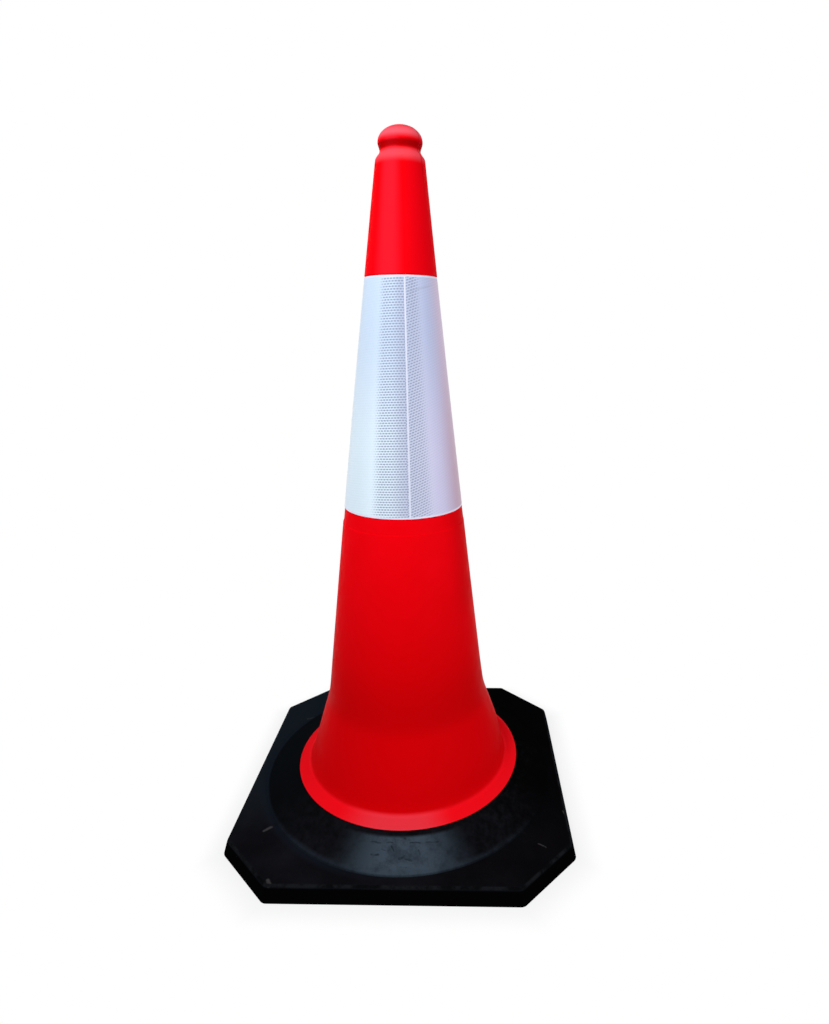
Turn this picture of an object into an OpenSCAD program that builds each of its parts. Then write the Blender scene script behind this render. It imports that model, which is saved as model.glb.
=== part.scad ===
// A traffic cone: a thin red shell that snaps into a black rubber base, with two reflective sheets.
// Millimetres. +Z is up, the front is -Y, and the origin is the middle of the sole on the floor.

/* [Cone shell] */
// Height of the whole cone above the floor
total_h = 1000; // [850:10:1200]
// Wall thickness of the shell
wall = 3; // [2.4:0.1:3.6]
// Outside diameter of the straight cone where it meets the shoulder of the head
cone_top_d = 69; // [66:1:84]
// Outside diameter of the straight cone where the flared foot starts
flare_top_d = 246; // [236:1:262]
// Height of the start of the flared foot
flare_top_h = 168; // [150:1:200]
// Height over which the corner between cone and flare is rounded, each way
flare_round = 14; // [6:1:22]
// Outside diameter of the crease between the flared foot and the flange
crease_d = 310; // [304:1:318]

/* [Head] */
// Height of the head from the shoulder to the top
head_h = 46.5; // [44:0.5:52]
// Diameter of the bulb that a hand lifts the cone by
bulb_d = 61.6; // [60:0.2:65]
// Height of the bulb's widest circle below the top
bulb_drop = 22; // [21:0.5:24]
// Diameter of the neck under the bulb
neck_d = 56.2; // [52:0.2:58]
// Height of the neck's narrowest circle below the top
neck_drop = 33.5; // [31:0.5:36]

/* [Flange and snap fit] */
// Diameter of the flange that rests on the rubber
flange_d = 351; // [345:1:360]
// Height of the flange's outer top edge
flange_h = 49; // [46:1:54]
// Slope of the flange and of the rubber under it, in degrees
flange_slope = 21.3; // [18:0.1:24]
// Width of the flange's outer edge that stands clear of the rubber
flange_lift_w = 7.5; // [5:0.5:10]
// Gap under the flange's outer edge
flange_lift = 1.2; // [0.8:0.1:1.6]
// Outside diameter of the spigot that goes down through the rubber
spigot_d = 304; // [298:1:304]
// Height of the spigot's lower end above the floor
spigot_end_h = 4; // [2:0.5:5]
// Clearance between the spigot and the rubber, all round
spigot_gap = 1; // [0.5:0.1:1.5]
// Number of snap fingers on the spigot
finger_n = 8; // [6:2:12]
// Width of one snap finger, in degrees round the spigot
finger_angle = 16; // [12:1:20]
// Width of the lug on a finger, in degrees round the spigot
lug_angle = 12; // [8:1:14]
// Width of the slot on each side of a finger
slot_w = 3; // [2:0.5:5]
// Height of the top of those slots above the floor
slot_top_h = 34; // [28:1:40]
// How far a snap lug stands out from its finger
lug_out = 5; // [4:0.5:6]
// Height of a snap lug
lug_h = 8.5; // [7:0.5:9]
// Height of the upright face at the top of a lug
lug_face_h = 2.8; // [2:0.2:4]
// How far a lug's lower edge stands out already, before its slope
lug_toe = 0.6; // [0.4:0.1:1.2]
// Gap between a lug's top and the rubber ledge over it
lug_gap = 0.5; // [0.3:0.1:1]

/* [Reflective sheets] */
// Height of the sheets' lower edge above the floor
sheet_low_h = 471; // [440:1:500]
// Height of the sheets from their lower to their upper edge
sheet_h = 330; // [280:1:340]
// Thickness of a sheet
sheet_t = 0.5; // [0.4:0.1:0.6]
// Thickness of the glue between the seat and a sheet
glue_t = 0.3; // [0.2:0.1:0.4]
// Depth of the seat that is sunk in the shell for the sheets
seat_depth = 1; // [0.8:0.1:1.1]
// Bare height of the seat under the sheets
seat_below = 24; // [10:1:30]
// Bare height of the seat above the sheets
seat_above = 2; // [1:0.5:6]
// Direction of the front seam, in degrees to the right of the front
seam_angle = 12; // [0:0.5:20]
// Width of the lap by which each sheet covers the other's end, in degrees round the cone
lap_angle = 9; // [6:0.5:14]
// Width of the lap's root, where the sheet steps up, in degrees round the cone
lap_root_angle = 3; // [2:0.5:5]
// Gap between the root of the lap and the end of the sheet under it, in degrees
lap_end_angle = 0.4; // [0.2:0.1:1]
// Thickness of the glue between the lap and the sheet under it
lap_glue_t = 0.1; // [0.1:0.1:0.2]

/* [Rubber base] */
// Width across opposite sides at the floor
base_w = 500; // [480:1:540]
// Length of each leg of the cut corners at the floor
corner_cut = 80; // [60:1:90]
// Height of the base's flat rim
rim_h = 23; // [20:1:24]
// Lean of the walls from upright, in degrees
wall_angle = 15; // [8:1:20]
// Radius of the rounded upper edge
edge_round = 6; // [3:0.5:8]
// Number of flats that make up the rounded edge
edge_flats = 4; // [2:1:6]
// Diameter of the raised middle at its foot
hill_d = 456; // [448:1:458]
// Height of the ledge that the snap lugs hook under
ledge_h = 15; // [15:0.5:17]
// Clearance between the lugs and the counterbore round them
lug_room = 3; // [2:0.5:4]
// Thickness of the rubber over the ring of pockets
pocket_roof = 10; // [9:0.5:12]
// Width of the rubber between the counterbore and the pockets
inner_ring_w = 10; // [8:0.5:12]
// Width of the rubber between the pockets and the hill's foot
outer_ring_w = 11; // [9:0.5:14]
// Number of ribs between the pockets
rib_n = 16; // [12:2:20]
// Thickness of a rib
rib_t = 7; // [5:0.5:9]
// Diameter of the round pocket under each cut corner
corner_pocket_d = 34; // [28:1:38]
// Depth of that round pocket
corner_pocket_h = 12; // [8:1:14]

/* [Hidden] */
$fn = 72;
eps = 1;
full_turn = 360;
half_turn = 180;
front = -90;
curve_steps = 10;
dome_step = 9;

shoulder_h = total_h - head_h;
neck_h = total_h - neck_drop;
bulb_h = total_h - bulb_drop;
cone_top_r = cone_top_d / 2;
flare_top_r = flare_top_d / 2;
bulb_r = bulb_d / 2;
neck_r = neck_d / 2;
cone_lean = (flare_top_r - cone_top_r) / (shoulder_h - flare_top_h);

flange_r = flange_d / 2;
crease_r = crease_d / 2;
spigot_r = spigot_d / 2;
flange_rise = tan(flange_slope);
crease_h = flange_h + (flange_r - crease_r) * flange_rise;
flare_lean = (crease_r - flare_top_r) / (flare_top_h - crease_h);
flange_edge_round = 1;

seat_low_h = sheet_low_h - seat_below;
seat_high_h = sheet_low_h + sheet_h + seat_above;

hill_r = hill_d / 2;
opening_r = spigot_r + spigot_gap;
counterbore_r = spigot_r + lug_out + lug_room;
lug_top_h = ledge_h - lug_gap;
pocket_in_r = counterbore_r + inner_ring_w;
pocket_out_r = hill_r - outer_ring_w;
octagon_sides = 8;
corner_n = 4;

// Radius of the straight cone's outside at a height
function cone_r(z) = cone_top_r + (shoulder_h - z) * cone_lean;

// Radius of the flared foot's outside at a height
function flare_r(z) = crease_r - (z - crease_h) * flare_lean;

// Height of the rubber's sloping top, on which the flange rests
function hill_z(r) = flange_h - wall + (flange_r - r) * flange_rise;

// Smooth step from 0 to 1
function ease(t) = (1 - cos(180 * t)) / 2;

// Soft curve from one circle of the profile to the next, each [radius, height], without the first
function soft(a, b) =
    [for (i = [1 : curve_steps]) let (t = i / curve_steps)
        [a[0] + (b[0] - a[0]) * ease(t), a[1] + (b[1] - a[1]) * t]];

// Points of the dome over the bulb's widest circle, half an ellipse, less a wall's thickness
function dome(less, from, to) =
    [for (i = [0 : curve_steps]) let (a = from + (to - from) * i / curve_steps)
        [(bulb_r - less) * cos(a), bulb_h + (bulb_drop - less) * sin(a)]];

// Quadratic curve from a to c that leaves and arrives along the lines to b
function bend(a, b, c) =
    [for (i = [0 : curve_steps]) let (t = i / curve_steps)
        (1 - t) * (1 - t) * a + 2 * t * (1 - t) * b + t * t * c];

// Outside of the foot: spigot, underside of the flange, its edge and top, then the flare
function foot_outside() = concat(
    [[spigot_r, spigot_end_h], [spigot_r, hill_z(spigot_r)]],
    [[flange_r - flange_lift_w, hill_z(flange_r - flange_lift_w)]],
    [[flange_r - flange_edge_round, hill_z(flange_r) + flange_lift]],
    [[flange_r, hill_z(flange_r) + flange_lift + flange_edge_round / 2]],
    [[flange_r, flange_h - flange_edge_round / 2], [flange_r - flange_edge_round, flange_h]],
    [[crease_r, crease_h]],
    bend(
        [flare_r(flare_top_h - flare_round), flare_top_h - flare_round],
        [flare_top_r, flare_top_h],
        [cone_r(flare_top_h + flare_round), flare_top_h + flare_round]
    )
);

// Outside of the straight cone, with the sunk seat of the sheets
function cone_outside() = [
    [cone_r(seat_low_h), seat_low_h],
    [cone_r(seat_low_h + seat_depth) - seat_depth, seat_low_h + seat_depth],
    [cone_r(seat_high_h - seat_depth) - seat_depth, seat_high_h - seat_depth],
    [cone_r(seat_high_h), seat_high_h]
];

// Outside of the head: shoulder, neck, bulb and rounded top
function head_outside() = concat(
    [[cone_top_r, shoulder_h]],
    soft([cone_top_r, shoulder_h], [neck_r, neck_h]),
    soft([neck_r, neck_h], [bulb_r, bulb_h]),
    dome(0, dome_step, 90)
);

// Inside of the shell, from the top down to the spigot's end
function shell_inside() = concat(
    dome(wall, 90, 0),
    [[neck_r - wall, neck_h]],
    [[cone_top_r - wall, shoulder_h - wall]],
    [[cone_r(flare_top_h) - wall, flare_top_h]],
    [[spigot_r - wall, crease_h + (crease_r - spigot_r) / flare_lean]],
    [[spigot_r - wall, spigot_end_h]]
);

module shell() {
    rotate_extrude()
        polygon(concat(foot_outside(), cone_outside(), head_outside(), shell_inside()));
}

// Slots that free one snap finger of the spigot
module finger_slots() {
    for (side = [-1, 1])
        rotate([0, 0, side * finger_angle / 2])
            translate([spigot_r - 2 * wall, -slot_w / 2, spigot_end_h - eps])
                cube([3 * wall, slot_w, slot_top_h - spigot_end_h + eps]);
}

// Hook at the lower end of one finger, sloped below so that it pushes in
module snap_lug() {
    rotate([0, 0, -lug_angle / 2])
        rotate_extrude(angle = lug_angle)
            polygon([
                [spigot_r - wall / 2, lug_top_h - lug_h],
                [spigot_r + lug_toe, lug_top_h - lug_h],
                [spigot_r + lug_out, lug_top_h - lug_face_h],
                [spigot_r + lug_out, lug_top_h],
                [spigot_r - wall / 2, lug_top_h]
            ]);
}

module cone_body() {
    color("red") {
        difference() {
            shell();
            for (i = [0 : finger_n - 1])
                rotate([0, 0, i * full_turn / finger_n])
                    finger_slots();
        }
        for (i = [0 : finger_n - 1])
            rotate([0, 0, i * full_turn / finger_n])
                snap_lug();
    }
}

// Strip of conical sheet between two distances from the glue on the seat
module sheet_strip(near, far, from, turn) {
    low_r = cone_r(sheet_low_h) - seat_depth + glue_t;
    high_r = cone_r(sheet_low_h + sheet_h) - seat_depth + glue_t;
    rotate([0, 0, from])
        rotate_extrude(angle = turn)
            polygon([
                [low_r + near, sheet_low_h],
                [low_r + far, sheet_low_h],
                [high_r + far, sheet_low_h + sheet_h],
                [high_r + near, sheet_low_h + sheet_h]
            ]);
}

// One sheet, half way round the cone: its first edge laps over the other sheet's end
module half_sheet() {
    lap_near = sheet_t + lap_glue_t;
    lap_far = lap_near + sheet_t;
    color("white") {
        sheet_strip(0, sheet_t, lap_angle, half_turn - lap_end_angle);
        sheet_strip(sheet_t / 2, lap_near + sheet_t / 2, lap_angle + lap_root_angle / 3, lap_root_angle / 3);
        sheet_strip(lap_near, lap_far, 0, lap_angle + lap_root_angle);
    }
}

module right_sheet() {
    rotate([0, 0, front + seam_angle])
        half_sheet();
}

module left_sheet() {
    rotate([0, 0, front + seam_angle + half_turn])
        half_sheet();
}

// Distance of a wall from the axis at the floor: even walls are the sides, odd ones the cut corners
function wall_distance(i) = i % 2 == 0 ? base_w / 2 : (base_w - corner_cut) / sqrt(2);

// Everything on the inner side of one leaning plane, given by its distance at the floor
module inside_plane(distance, lean_angle) {
    reach = 2 * base_w;
    translate([distance, 0, 0])
        rotate([0, -lean_angle, 0])
            translate([-reach, -reach, -reach])
                cube([reach, 2 * reach, 2 * reach]);
}

// The flat rim: an octagon whose walls lean in and whose upper edge is rounded by narrow flats
module rim_block() {
    round_h = rim_h - edge_round;
    wall_in = round_h * tan(wall_angle) + edge_round / cos(wall_angle);
    flat_step = (90 - wall_angle) / edge_flats;
    intersection() {
        translate([-base_w, -base_w, 0])
            cube([2 * base_w, 2 * base_w, rim_h]);
        intersection_for (i = [0 : octagon_sides - 1], j = [0 : edge_flats - 1]) {
            lean = wall_angle + j * flat_step;
            centre_distance = wall_distance(i) - wall_in;
            rotate([0, 0, i * full_turn / octagon_sides])
                inside_plane(centre_distance + round_h * tan(lean) + edge_round / cos(lean), lean);
        }
    }
}

// The raised middle with its sloping top
module hill() {
    rotate_extrude()
        polygon([
            [opening_r - eps, 0],
            [hill_r, 0],
            [hill_r, hill_z(hill_r)],
            [opening_r - eps, hill_z(opening_r - eps)]
        ]);
}

// Opening for the spigot, with the wider counterbore below that leaves the ledge
module spigot_opening() {
    translate([0, 0, -eps])
        cylinder(r = opening_r, h = total_h / 2);
    translate([0, 0, -eps])
        cylinder(r = counterbore_r, h = ledge_h + eps);
}

// Ring of pockets in the sole, parted by ribs
module pocket_ring() {
    difference() {
        rotate_extrude()
            polygon([
                [pocket_in_r, -eps],
                [pocket_out_r, -eps],
                [pocket_out_r, hill_z(pocket_out_r) - pocket_roof],
                [pocket_in_r, hill_z(pocket_in_r) - pocket_roof]
            ]);
        for (i = [0 : rib_n - 1])
            rotate([0, 0, (i + 0.5) * full_turn / rib_n])
                translate([pocket_in_r - 2 * rib_t, -rib_t / 2, -2 * eps])
                    cube([pocket_out_r - pocket_in_r + 4 * rib_t, rib_t, total_h / 4]);
    }
}

// Round pockets under the four cut corners
module corner_pockets() {
    place_r = (hill_r + wall_distance(1)) / 2;
    for (i = [0 : corner_n - 1])
        rotate([0, 0, (i + 0.5) * full_turn / corner_n])
            translate([place_r, 0, -eps])
                cylinder(d = corner_pocket_d, h = corner_pocket_h + eps);
}

module rubber_base() {
    color("black")
        difference() {
            union() {
                rim_block();
                hill();
            }
            spigot_opening();
            pocket_ring();
            corner_pockets();
        }
}

cone_body();
right_sheet();
left_sheet();
rubber_base();
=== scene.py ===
"""Traffic cone: a red moulded shell, two white reflective sheets and a black rubber base."""
import math

import bpy
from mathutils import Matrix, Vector


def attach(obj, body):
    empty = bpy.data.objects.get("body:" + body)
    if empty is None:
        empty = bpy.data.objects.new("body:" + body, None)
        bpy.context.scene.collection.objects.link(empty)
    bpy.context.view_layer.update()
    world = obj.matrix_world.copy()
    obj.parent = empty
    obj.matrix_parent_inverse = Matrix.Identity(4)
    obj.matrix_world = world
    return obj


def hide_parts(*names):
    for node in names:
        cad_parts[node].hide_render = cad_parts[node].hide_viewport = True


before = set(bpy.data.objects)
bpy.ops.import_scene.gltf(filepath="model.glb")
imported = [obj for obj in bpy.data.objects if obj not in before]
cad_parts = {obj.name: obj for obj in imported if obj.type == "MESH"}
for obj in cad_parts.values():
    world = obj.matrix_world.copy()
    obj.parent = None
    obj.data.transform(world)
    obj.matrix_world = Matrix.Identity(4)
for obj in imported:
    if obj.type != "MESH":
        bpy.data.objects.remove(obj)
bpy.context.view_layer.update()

MM = 0.001
EPS = 1e-5
TURN_STEPS = 192

# Shell, in millimetres: heights above the floor and outside radii
TOTAL_H = 1000
WALL = 3
CONE_TOP_R = 34.5
SHOULDER_H = 953.5
NECK_R = 28.1
NECK_H = 966.5
BULB_R = 30.8
BULB_H = 978
FLARE_TOP_R = 123
FLARE_TOP_H = 168
FLARE_ROUND = 14
CREASE_R = 156.5
CREASE_ROUND = 5.5
FLANGE_R = 175.5
FLANGE_H = 49
FLANGE_SLOPE = math.radians(21.3)
FLANGE_LIFT = 1.2
FLANGE_LIFT_W = 7.5
SPIGOT_R = 152
SPIGOT_END_H = 4
SEAT_LOW_H = 447
SEAT_HIGH_H = 803
SEAT_DEPTH = 1
PARTING_LINE_DEG = -27
PARTING_LINE_OUT = 0.45

# How the soft shell stands out of true: a slight bow, and a flare that swells, most on the right
BOW_LOW_H = 430
BOW_BACK = 1.5
BOW_PER_MM2 = 12.5e-6
SWELL_LOW_H = 50
SWELL_MID_H = 98
SWELL_HIGH_H = 205
SWELL_OUT = 2.4
SWELL_RIGHT = 2.0
RAISED_AT_DEG = 30
RAISED_UP = 8
RAISED_OUT = 1.6

# Snap fingers and lugs at the spigot's lower end
FINGER_N = 8
FINGER_DEG = 16
SLOT_W = 3
SLOT_TOP_H = 34
LUG_DEG = 12
LUG_OUT = 5
LUG_TOP_H = 14.5
LUG_H = 8.5
LUG_FACE_H = 2.8

# Reflective sheets
SHEET_LOW_H = 471
SHEET_HIGH_H = 801
SHEET_T = 0.5
GLUE_T = 0.3
LAP_OUT = 0.6
LAP_DEG = 10.5
LAP_STEP_DEG = 1.5
HALF_SHEET_DEG = 188.6
FRONT_SEAM_DEG = -80.4

# Rubber base
BASE_HALF_W = 250
CUT_CORNER_R = 297
RIM_H = 23
WALL_DEG = 15
EDGE_ROUND_OFFSET = 4.6
HILL_R = 228
OPENING_R = 153
COUNTERBORE_R = 160
LEDGE_H = 15
POCKET_IN_R = 170
POCKET_OUT_R = 217
POCKET_ROOF = 10
RIB_N = 16
RIB_T = 7
CORNER_POCKET_R = 17
CORNER_POCKET_H = 12
CORNER_POCKET_PLACE_R = 262.5

# Marks on the rubber, in millimetres: both ends of a stroke seen from above, and its half width
DARK_MARKS = (
    ((-36, -187), (-22, -189), 1.5), ((-14, -189), (-6, -189), 1.2), ((5, -182), (12, -184), 2.6),
    ((18, -189), (32, -188), 1.4), ((40, -187), (56, -185), 1.4), ((-34, -203), (-24, -204), 1.9),
    ((-7, -194), (-2, -204), 1.9), ((5, -209), (12, -206), 2.2), ((13, -209), (22, -210), 1.9),
    ((6, -219), (15, -219), 1.4), ((-186, -138), (-180, -138), 2.8), ((-20, -197), (-15, -199), 1.2),
    ((30, -197), (33, -203), 1.0),
)
PALE_MARKS = (
    ((-196, -150), (-188, -143), 3.2), ((-165, -236), (-162, -242), 3.5), ((-200, 127), (-190, 131), 2.6),
    ((196, -168), (206, -174), 1.4), ((236, -180), (246, -187), 1.6), ((240, -104), (242, -114), 1.6),
)

# The photograph's camera, in metres, degrees and pixels
IMAGE_WIDTH_PX = 829
IMAGE_HEIGHT_PX = 1024
CAMERA_PLACE = (0.0914, -0.9476, 0.7189)
CAMERA_TURN_DEG = (78.3214, 0.0725, 1.0246)
FOCAL_LENGTH_PX = 643.5
CENTRE_X_PX = 453.3
CENTRE_Y_PX = 470.1
SENSOR_MM = 36.0


def cone_r(z):
    """Radius of the straight cone's outside at a height"""
    return CONE_TOP_R + (SHOULDER_H - z) * (FLARE_TOP_R - CONE_TOP_R) / (SHOULDER_H - FLARE_TOP_H)


def crease_h():
    """Height of the crease between flange and flare"""
    return FLANGE_H + (FLANGE_R - CREASE_R) * math.tan(FLANGE_SLOPE)


def flare_r(z):
    """Radius of the flared foot's outside at a height"""
    return CREASE_R - (z - crease_h()) * (CREASE_R - FLARE_TOP_R) / (FLARE_TOP_H - crease_h())


def hill_z(r):
    """Height of the rubber's sloping top"""
    return FLANGE_H - WALL + (FLANGE_R - r) * math.tan(FLANGE_SLOPE)


def soft(a, b, steps):
    """Soft curve from one ring to the next, without the first"""
    rings = []
    for i in range(1, steps + 1):
        t = i / steps
        ease = (1 - math.cos(math.pi * t)) / 2
        rings.append((a[0] + (b[0] - a[0]) * ease, a[1] + (b[1] - a[1]) * t))
    return rings


def dome(less, steps):
    """Rings of the elliptical dome over the bulb, less a wall's thickness, with its top point"""
    rings = []
    for i in range(1, steps):
        a = math.pi / 2 * i / steps
        rings.append(((BULB_R - less) * math.cos(a), BULB_H + (TOTAL_H - BULB_H - less) * math.sin(a)))
    return rings + [(0, TOTAL_H - less)]


def bend(a, b, c, steps):
    """Rings on a quadratic curve from a to c along the lines to b"""
    rings = []
    for i in range(steps + 1):
        t = i / steps
        rings.append(tuple((1 - t) ** 2 * p + 2 * t * (1 - t) * q + t * t * s for p, q, s in zip(a, b, c)))
    return rings


def straight(a, b, steps):
    """Rings on the line from a to b, without both ends"""
    return [(a[0] + (b[0] - a[0]) * i / steps, a[1] + (b[1] - a[1]) * i / steps) for i in range(1, steps)]


def put_down():
    """Leave edit mode with nothing selected"""
    if bpy.context.object and bpy.context.object.mode == "EDIT":
        bpy.ops.object.mode_set(mode="OBJECT")
    bpy.ops.object.select_all(action="DESELECT")


def take(piece):
    """Make one piece the selected and active one"""
    put_down()
    piece.select_set(True)
    bpy.context.view_layer.objects.active = piece


def take_points(piece, wanted):
    """Enter edit mode with the points selected for which wanted(place in mm) holds"""
    take(piece)
    bpy.ops.object.mode_set(mode="EDIT")
    bpy.ops.mesh.select_mode(type="VERT")
    bpy.ops.mesh.select_all(action="DESELECT")
    bpy.ops.object.mode_set(mode="OBJECT")
    for point in piece.data.vertices:
        point.select = wanted(point.co / MM)
    bpy.ops.object.mode_set(mode="EDIT")


def take_edges(piece, wanted):
    """Enter edit mode with the edges selected for which wanted(end, end) holds, in mm"""
    take(piece)
    bpy.ops.object.mode_set(mode="EDIT")
    bpy.ops.mesh.select_mode(type="EDGE")
    bpy.ops.mesh.select_all(action="DESELECT")
    bpy.ops.object.mode_set(mode="OBJECT")
    points = piece.data.vertices
    for edge in piece.data.edges:
        a, b = (points[i].co / MM for i in edge.vertices)
        edge.select = wanted(a, b)
    bpy.ops.object.mode_set(mode="EDIT")


def turned(name, rings, steps=TURN_STEPS):
    """Skin of revolution, drawn on from a circle ring by ring; each ring is (radius, height) in mm"""
    put_down()
    radius, height = rings[0]
    bpy.ops.mesh.primitive_circle_add(vertices=steps, radius=radius * MM, location=(0, 0, height * MM))
    bpy.ops.object.transform_apply(location=True)
    piece = bpy.context.object
    piece.name = name
    bpy.ops.object.mode_set(mode="EDIT")
    bpy.ops.mesh.select_all(action="SELECT")
    for next_radius, next_height in rings[1:]:
        rise = (next_height - height) * MM
        bpy.ops.mesh.extrude_region_move(TRANSFORM_OT_translate={"value": (0, 0, rise)})
        if next_radius == 0:
            bpy.ops.mesh.merge(type="CENTER")
            break
        k = next_radius / radius
        bpy.ops.transform.resize(value=(k, k, 1), center_override=(0, 0, next_height * MM))
        radius, height = next_radius, next_height
    bpy.ops.object.mode_set(mode="OBJECT")
    return piece


def face_out(piece, inwards=False):
    """Turn all faces outwards, or inwards on the inside of a wall"""
    take(piece)
    bpy.ops.object.mode_set(mode="EDIT")
    bpy.ops.mesh.select_all(action="SELECT")
    bpy.ops.mesh.normals_make_consistent(inside=inwards)
    bpy.ops.object.mode_set(mode="OBJECT")


def turned_ring(name, rings, steps=TURN_STEPS):
    """Closed ring of revolution, whose rings come back to the first one"""
    piece = turned(name, rings + rings[:1], steps)
    take(piece)
    bpy.ops.object.mode_set(mode="EDIT")
    bpy.ops.mesh.select_all(action="SELECT")
    bpy.ops.mesh.remove_doubles(threshold=EPS)
    face_out(piece)
    return piece


def turned_plug(name, rings, steps=TURN_STEPS):
    """Solid of revolution with a flat end at its first and its last ring"""
    piece = turned(name, rings, steps)
    take(piece)
    bpy.ops.object.mode_set(mode="EDIT")
    bpy.ops.mesh.select_all(action="SELECT")
    bpy.ops.mesh.fill_holes(sides=0)
    face_out(piece)
    return piece


def block(name, low, high):
    """Straight block between two corners, in mm"""
    put_down()
    middle = [(a + b) / 2 * MM for a, b in zip(low, high)]
    size = [(b - a) * MM for a, b in zip(low, high)]
    bpy.ops.mesh.primitive_cube_add(size=1, location=middle, scale=size)
    bpy.ops.object.transform_apply(location=True, rotation=True, scale=True)
    piece = bpy.context.object
    piece.name = name
    return piece


def round_the_axis(piece, count, first_deg=0):
    """Turn a piece and its copies round the cone's axis and join them"""
    pieces = []
    for i in range(count):
        take(piece)
        if i:
            bpy.ops.object.duplicate()
        copy = bpy.context.object
        pieces.append(copy)
    for i, copy in enumerate(pieces):
        copy.rotation_euler = (0, 0, math.radians(first_deg + i * 360 / count))
    return joined(pieces)


def joined(pieces):
    """Join pieces into the first one, with the places in its mesh"""
    put_down()
    for piece in pieces:
        piece.select_set(True)
    bpy.context.view_layer.objects.active = pieces[0]
    bpy.ops.object.transform_apply(location=True, rotation=True, scale=True)
    if len(pieces) > 1:
        bpy.ops.object.join()
    return bpy.context.object


def cut_or_add(piece, tool, operation):
    """Boolean with a tool piece, which is used up"""
    take(piece)
    bpy.ops.object.modifier_add(type="BOOLEAN")
    step = piece.modifiers[-1]
    step.operation = operation
    step.solver = "EXACT"
    step.object = tool
    bpy.ops.object.modifier_apply(modifier=step.name)
    take(tool)
    bpy.ops.object.delete()


def smooth(piece, degrees):
    """Smooth shading up to an angle, with flat faces kept flat"""
    take(piece)
    bpy.ops.object.shade_smooth_by_angle(angle=math.radians(degrees))
    bpy.ops.object.modifier_add(type="WEIGHTED_NORMAL")
    step = piece.modifiers[-1]
    step.keep_sharp = True
    bpy.ops.object.modifier_apply(modifier=step.name)


def foot_rings():
    """Outside of the shell's foot: spigot, flange and flare"""
    slope = math.tan(FLANGE_SLOPE)
    edge_low = hill_z(FLANGE_R) + FLANGE_LIFT
    rings = [(SPIGOT_R, SPIGOT_END_H), (SPIGOT_R, hill_z(SPIGOT_R))]
    rings += [(FLANGE_R - FLANGE_LIFT_W, hill_z(FLANGE_R - FLANGE_LIFT_W))]
    rings += [(FLANGE_R - 1, edge_low - 0.1), (FLANGE_R - 0.3, edge_low + 0.25), (FLANGE_R, edge_low + 0.9)]
    rings += [(FLANGE_R - 0.15, FLANGE_H - 0.5), (FLANGE_R - 0.9, FLANGE_H + 0.1)]
    rings += [(FLANGE_R - 2.2, FLANGE_H + 2.2 * slope)]
    rings += straight(rings[-1], (CREASE_R + CREASE_ROUND, crease_h() - CREASE_ROUND * slope), 4)
    low = (CREASE_R + CREASE_ROUND, crease_h() - CREASE_ROUND * slope)
    high = (flare_r(crease_h() + 2 * CREASE_ROUND), crease_h() + 2 * CREASE_ROUND)
    rings += bend(low, (CREASE_R, crease_h()), high, 8)
    top = (flare_r(FLARE_TOP_H - FLARE_ROUND), FLARE_TOP_H - FLARE_ROUND)
    rings += straight(high, top, 8)
    rings += bend(top, (FLARE_TOP_R, FLARE_TOP_H), (cone_r(FLARE_TOP_H + FLARE_ROUND), FLARE_TOP_H + FLARE_ROUND), 10)
    return rings


def cone_rings():
    """Outside of the straight cone with the sunk seat of the sheets"""
    start = (cone_r(FLARE_TOP_H + FLARE_ROUND), FLARE_TOP_H + FLARE_ROUND)
    seat_low = (cone_r(SEAT_LOW_H), SEAT_LOW_H)
    sunk_low = (cone_r(SEAT_LOW_H + SEAT_DEPTH) - SEAT_DEPTH, SEAT_LOW_H + SEAT_DEPTH)
    sunk_high = (cone_r(SEAT_HIGH_H - SEAT_DEPTH) - SEAT_DEPTH, SEAT_HIGH_H - SEAT_DEPTH)
    seat_high = (cone_r(SEAT_HIGH_H), SEAT_HIGH_H)
    shoulder = (CONE_TOP_R + 0.3, SHOULDER_H - 2)
    rings = straight(start, seat_low, 8) + [seat_low, sunk_low]
    rings += straight(sunk_low, sunk_high, 6) + [sunk_high, seat_high]
    rings += straight(seat_high, shoulder, 6) + [shoulder]
    return rings


def head_rings():
    """Outside of the head: shoulder, neck, bulb and dome"""
    shoulder = (CONE_TOP_R, SHOULDER_H)
    rings = [shoulder] + soft(shoulder, (NECK_R, NECK_H), 14)
    rings += soft((NECK_R, NECK_H), (BULB_R, BULB_H), 12)
    return rings + dome(0, 22)


def inside_rings():
    """Inside of the shell, from the spigot's end up to the top"""
    flare_lean = (CREASE_R - FLARE_TOP_R) / (FLARE_TOP_H - crease_h())
    rings = [(SPIGOT_R - WALL, SPIGOT_END_H)]
    rings += [(SPIGOT_R - WALL, crease_h() + (CREASE_R - SPIGOT_R) / flare_lean)]
    rings += [(cone_r(FLARE_TOP_H) - WALL, FLARE_TOP_H), (CONE_TOP_R - WALL, SHOULDER_H - WALL)]
    rings += [(NECK_R - WALL, NECK_H), (BULB_R - WALL, BULB_H)]
    return rings + dome(WALL, 12)


def raise_parting_line(shell):
    """Fine ridge on both sides of the head, where the two halves of the mould met"""
    half_step = 180 / TURN_STEPS

    def on_line(place):
        if place.z < SHOULDER_H + 2 or place.z > TOTAL_H - 2:
            return False
        if math.hypot(place.x, place.y) < NECK_R - WALL / 2 and place.z < BULB_H + 8:
            return False
        away = (math.degrees(math.atan2(place.y, place.x)) - PARTING_LINE_DEG) % 180
        return min(away, 180 - away) < half_step

    take_points(shell, on_line)
    k = 1 + PARTING_LINE_OUT / BULB_R
    bpy.ops.transform.resize(value=(k, k, 1), center_override=(0, 0, BULB_H * MM))
    bpy.ops.object.mode_set(mode="OBJECT")


def ease_between(value, low, high):
    """Smooth 0 to 1"""
    t = min(max((value - low) / (high - low), 0), 1)
    return t * t * (3 - 2 * t)


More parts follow.
